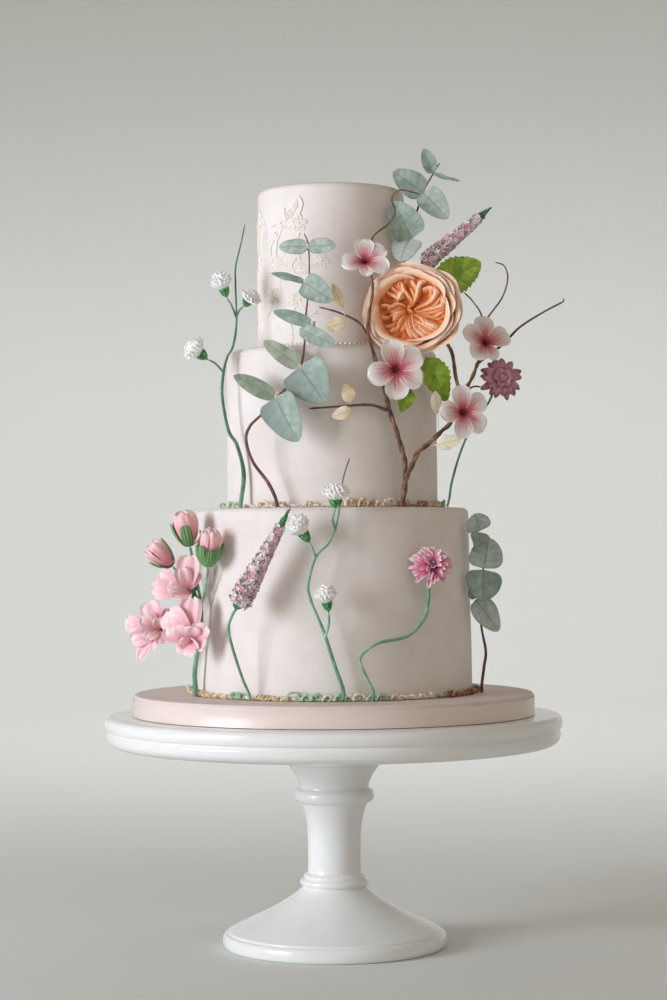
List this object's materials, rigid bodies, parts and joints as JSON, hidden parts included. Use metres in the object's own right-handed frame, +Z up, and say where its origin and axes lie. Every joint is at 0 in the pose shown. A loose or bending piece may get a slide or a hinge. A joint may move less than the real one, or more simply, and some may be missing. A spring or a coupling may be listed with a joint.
{
  "type": "tiered wedding cake",
  "caption": "Tall round tiered wedding cake with lace piping and wired sugar flowers, on an iced board and a turned white pedestal stand.",
  "frame": {"origin": "centre of the stand's flat underside", "axes": "+Z up along the axis of the stand and the tiers, -Y out of the front, where the lace and the flowers show, +X to the viewer's right"},
  "size_m": [0.348, 0.3474, 0.6011],
  "materials": {
    "stand_paint": "satin white paint",
    "board_icing": "matte blush icing",
    "ribbon_satin": "blush satin weave",
    "fondant": "matte ivory sugar paste",
    "floral_tape": "crepe floral tape",
    "bark_tape": "taped brown twig",
    "green_wire": "green taped wire",
    "eucalyptus_wire": "purple-brown taped wire",
    "eucalyptus_leaf": "dusty sage sugar paste",
    "rose_leaf": "glazed green sugar paste",
    "cream_leaf": "cream sugar paste",
    "blossom_petal": "dusted pink sugar paste",
    "apricot_petal": "dusted apricot sugar paste",
    "spike_floret": "tiny pink and white florets",
    "white_petal": "white sugar paste",
    "mauve_petal": "dusky mauve sugar paste",
    "soft_pink_petal": "glazed pale pink sugar paste",
    "magenta_petal": "magenta sugar paste with white tips"
  },
  "bodies": {
    "root": {"stand_pedestal": "stand_paint", "stand_plate": "stand_paint", "cake_board": "board_icing", "board_ribbon": "ribbon_satin", "tier_bottom": "fondant", "tier_middle": "fondant", "tier_top": "fondant", "border_bottom": "floral_tape", "border_middle": "floral_tape", "blossom_branch": "bark_tape", "side_branch": "bark_tape", "astrantia_stem": "green_wire", "upper_eucalyptus_stem": "eucalyptus_wire", "left_eucalyptus_stem": "eucalyptus_wire", "left_spray_stem": "green_wire", "center_spray_stem": "green_wire", "low_spike_stem": "green_wire", "cornflower_stem": "green_wire", "pink_spray_stem": "green_wire", "low_eucalyptus_stem": "eucalyptus_wire", "left_eucalyptus_leaves_1": "eucalyptus_leaf", "left_eucalyptus_leaves_2": "eucalyptus_leaf", "left_eucalyptus_leaves_3": "eucalyptus_leaf", "left_eucalyptus_leaves_4": "eucalyptus_leaf", "left_eucalyptus_leaves_5": "eucalyptus_leaf", "upper_eucalyptus_leaves_1": "eucalyptus_leaf", "upper_eucalyptus_leaves_2": "eucalyptus_leaf", "upper_eucalyptus_leaves_3": "eucalyptus_leaf", "low_eucalyptus_leaves_1": "eucalyptus_leaf", "low_eucalyptus_leaves_2": "eucalyptus_leaf", "low_eucalyptus_leaves_3": "eucalyptus_leaf", "rose_leaf_1": "rose_leaf", "rose_leaf_2": "rose_leaf", "rose_leaf_3": "rose_leaf", "cream_leaves_1": "cream_leaf", "cream_leaves_2": "cream_leaf", "cream_leaf_3": "cream_leaf", "cream_leaf_4": "cream_leaf", "blossom_1": "blossom_petal", "blossom_2": "blossom_petal", "blossom_3": "blossom_petal", "blossom_4": "blossom_petal", "garden_rose": "apricot_petal", "low_spike": "spike_floret", "upper_spike": "spike_floret", "left_white_flower_1": "white_petal", "left_white_flower_2": "white_petal", "left_white_flower_3": "white_petal", "center_white_flower_1": "white_petal", "center_white_flower_2": "white_petal", "center_white_flower_3": "white_petal", "astrantia": "mauve_petal", "pink_flower_1": "soft_pink_petal", "pink_flower_2": "soft_pink_petal", "pink_flower_3": "soft_pink_petal", "pink_bud_1": "soft_pink_petal", "pink_bud_2": "soft_pink_petal", "pink_bud_3": "soft_pink_petal", "cornflower": "magenta_petal"}
  },
  "joints": []
}
